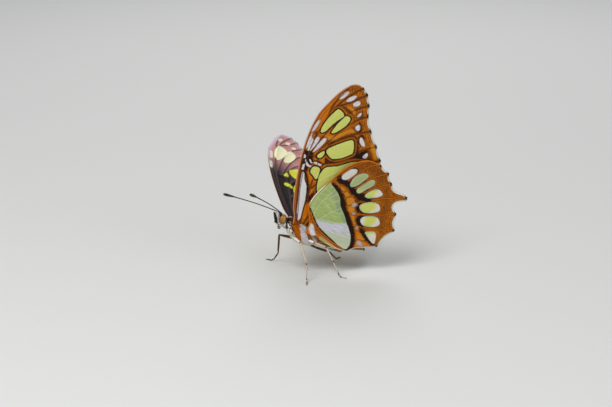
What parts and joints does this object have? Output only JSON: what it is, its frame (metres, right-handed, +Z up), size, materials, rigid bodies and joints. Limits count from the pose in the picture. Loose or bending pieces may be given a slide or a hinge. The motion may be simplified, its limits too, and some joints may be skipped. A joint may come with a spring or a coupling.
{
  "type": "malachite butterfly",
  "caption": "Life-size malachite butterfly standing with wings half open: green and brown patterned underside, tailed hindwings, clubbed feelers and ringed body",
  "frame": {"origin": "on the floor plane, under the middle of the bounding box", "axes": "+X is the butterfly's left, -Y is forward (the head faces -Y), +Z is up"},
  "size_m": [0.0596, 0.0534, 0.0591],
  "materials": {
    "wings": "matte wing scales, green patches on brown and orange",
    "body": "short soft hair, striped orange, brown and cream",
    "eyes": "smooth glossy amber",
    "feelers": "fine dark scales",
    "palps": "short dark hair with white edges",
    "legs": "fine pale scales with darker sides"
  },
  "bodies": {
    "root": {"head": "body", "eye_left": "eyes", "eye_right": "eyes", "antenna_left": "feelers", "antenna_right": "feelers", "palp_left": "palps", "palp_right": "palps", "proboscis": "feelers", "thorax": "body", "abdomen": "body", "forewing_left": "wings", "forewing_right": "wings", "hindwing_left": "wings", "hindwing_right": "wings", "foreleg_left": "legs", "foreleg_right": "legs", "midleg_left": "legs", "midleg_right": "legs", "hindleg_left": "legs", "hindleg_right": "legs"}
  },
  "joints": []
}
